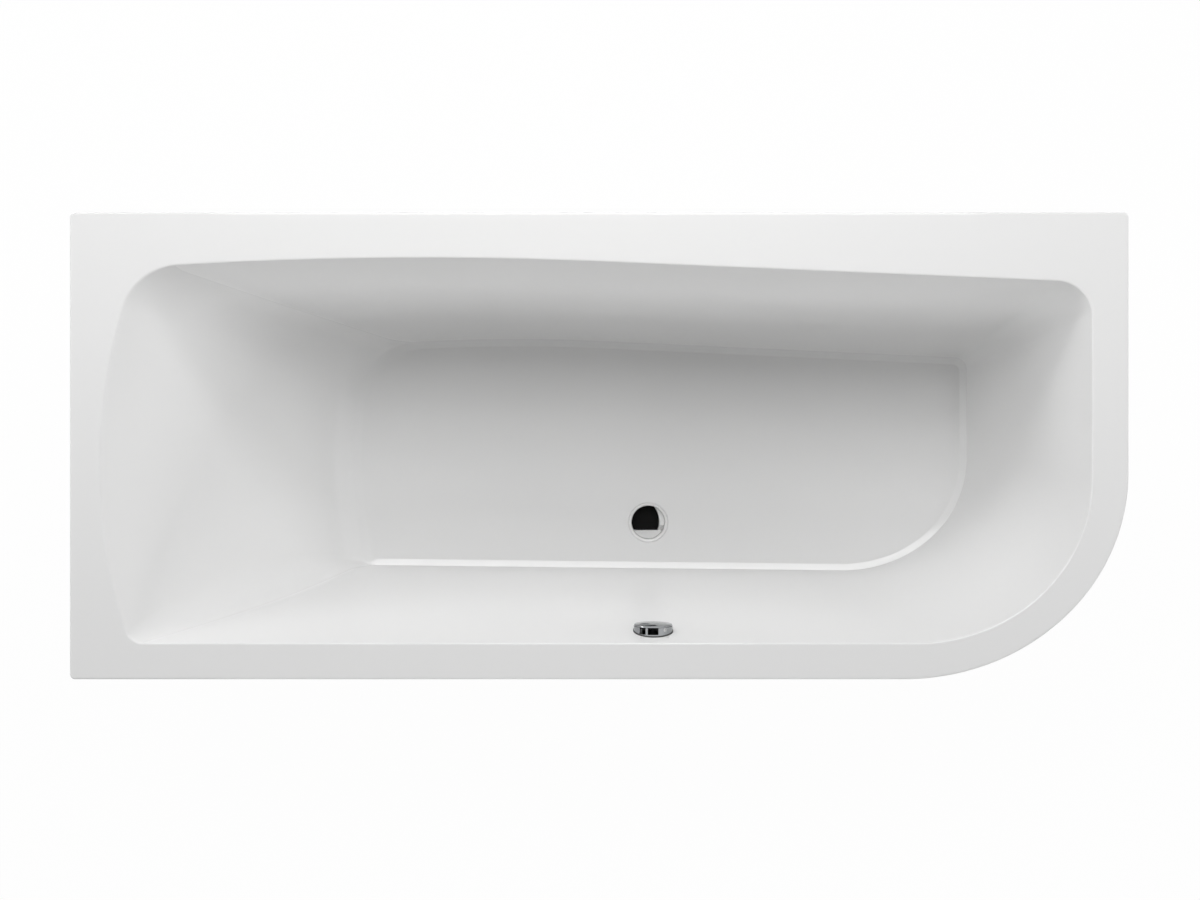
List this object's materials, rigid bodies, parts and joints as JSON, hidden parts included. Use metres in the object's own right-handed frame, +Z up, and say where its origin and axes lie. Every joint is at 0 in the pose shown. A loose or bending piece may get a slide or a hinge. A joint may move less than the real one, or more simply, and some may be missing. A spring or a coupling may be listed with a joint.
{
  "type": "asymmetric bathtub",
  "caption": "Asymmetric acrylic bathtub with one large rounded corner, sloping backrest, rotary waste and overflow, trap, wall hooks and adjustable legs.",
  "frame": {"origin": "on the bathroom floor, under the middle of the tub's outer box", "axes": "+X along the length from the head end to the foot end, +Y towards the back wall, +Z up"},
  "size_m": [1.7, 0.75, 0.595],
  "materials": {
    "acrylic": "sanitary white acrylic, high gloss",
    "laminate": "rough glass-fibre laminate, off-white",
    "chipboard": "raw chipboard",
    "galvanised": "galvanised sheet steel",
    "zinc": "bright zinc-plated steel",
    "foot_plastic": "black moulded polyamide",
    "white_plastic": "white moulded polypropylene",
    "stopper_black": "black moulded plastic",
    "rubber": "black sealing rubber",
    "chrome": "bright chrome plate",
    "grey_plastic": "dark grey moulded plastic",
    "stainless": "stainless steel",
    "brass": "plain turned brass",
    "hose_plastic": "pale grey corrugated polyethylene",
    "cable_sheath": "black cable sheath"
  },
  "bodies": {
    "tub": {"acrylic_shell": "acrylic", "glass_fibre_backing": "laminate", "base_board": "chipboard", "head_rail": "galvanised", "foot_rail": "galvanised", "wall_hook_head": "galvanised", "wall_hook_foot": "galvanised", "wall_hook_end": "galvanised", "rail_screws": "zinc", "rail_nuts": "zinc", "lock_nuts": "zinc", "waste_flange": "white_plastic", "waste_body": "white_plastic", "gear_housing": "white_plastic", "trap": "white_plastic", "trap_union_nut": "white_plastic", "trap_cleaning_cap": "white_plastic", "overflow_housing": "white_plastic", "hose_nut_top": "white_plastic", "hose_nut_low": "white_plastic", "cable_clip": "white_plastic", "flange_seal": "rubber", "waste_gasket": "rubber", "trap_washer": "rubber", "cleaning_cap_seal": "rubber", "overflow_gasket": "rubber", "rosette_seal": "rubber", "overflow_rosette": "chrome", "overflow_carrier": "grey_plastic", "rosette_set_screw": "stainless", "carrier_screws": "stainless", "lever_pin": "brass", "overflow_hose": "hose_plastic", "control_cable": "cable_sheath"},
    "knob": {"overflow_knob": "chrome", "overflow_spindle": "grey_plastic"},
    "stopper_set": {"stopper": "stopper_black", "stopper_seal": "rubber", "stopper_stem": "stopper_black"},
    "lever": {"lift_lever": "white_plastic"},
    "leg_head_front": {"foot_pad_head_front": "foot_plastic", "foot_rod_head_front": "zinc"},
    "leg_head_back": {"foot_pad_head_back": "foot_plastic", "foot_rod_head_back": "zinc"},
    "leg_foot_front": {"foot_pad_foot_front": "foot_plastic", "foot_rod_foot_front": "zinc"},
    "leg_foot_back": {"foot_pad_foot_back": "foot_plastic", "foot_rod_foot_back": "zinc"}
  },
  "joints": [
    {"name": "knob_turn", "type": "hinge", "parent": "tub", "child": "knob", "pos_m": [0.089, -0.295, 0.535], "axis": [0, 1, 0], "range_deg": [0, 90]},
    {"name": "stopper_lift", "type": "slide", "parent": "tub", "child": "stopper_set", "axis": [0, 0, 1], "range_m": [0, 0.0088]},
    {"name": "lever_tilt", "type": "hinge", "parent": "tub", "child": "lever", "pos_m": [0.1113, -0.1479, 0.104], "axis": [0, 1, 0], "range_deg": [0, 32]},
    {"name": "head_front_height", "type": "slide", "parent": "tub", "child": "leg_head_front", "axis": [0, 0, -1], "range_m": [-0.01, 0.015]},
    {"name": "head_back_height", "type": "slide", "parent": "tub", "child": "leg_head_back", "axis": [0, 0, -1], "range_m": [-0.01, 0.015]},
    {"name": "foot_front_height", "type": "slide", "parent": "tub", "child": "leg_foot_front", "axis": [0, 0, -1], "range_m": [-0.01, 0.015]},
    {"name": "foot_back_height", "type": "slide", "parent": "tub", "child": "leg_foot_back", "axis": [0, 0, -1], "range_m": [-0.01, 0.015]}
  ],
  "couplings": [
    {"joint": "stopper_lift", "follows": "knob_turn", "m_per_rad": 0.005601},
    {"joint": "lever_tilt", "follows": "knob_turn", "ratio": 0.3555}
  ]
}
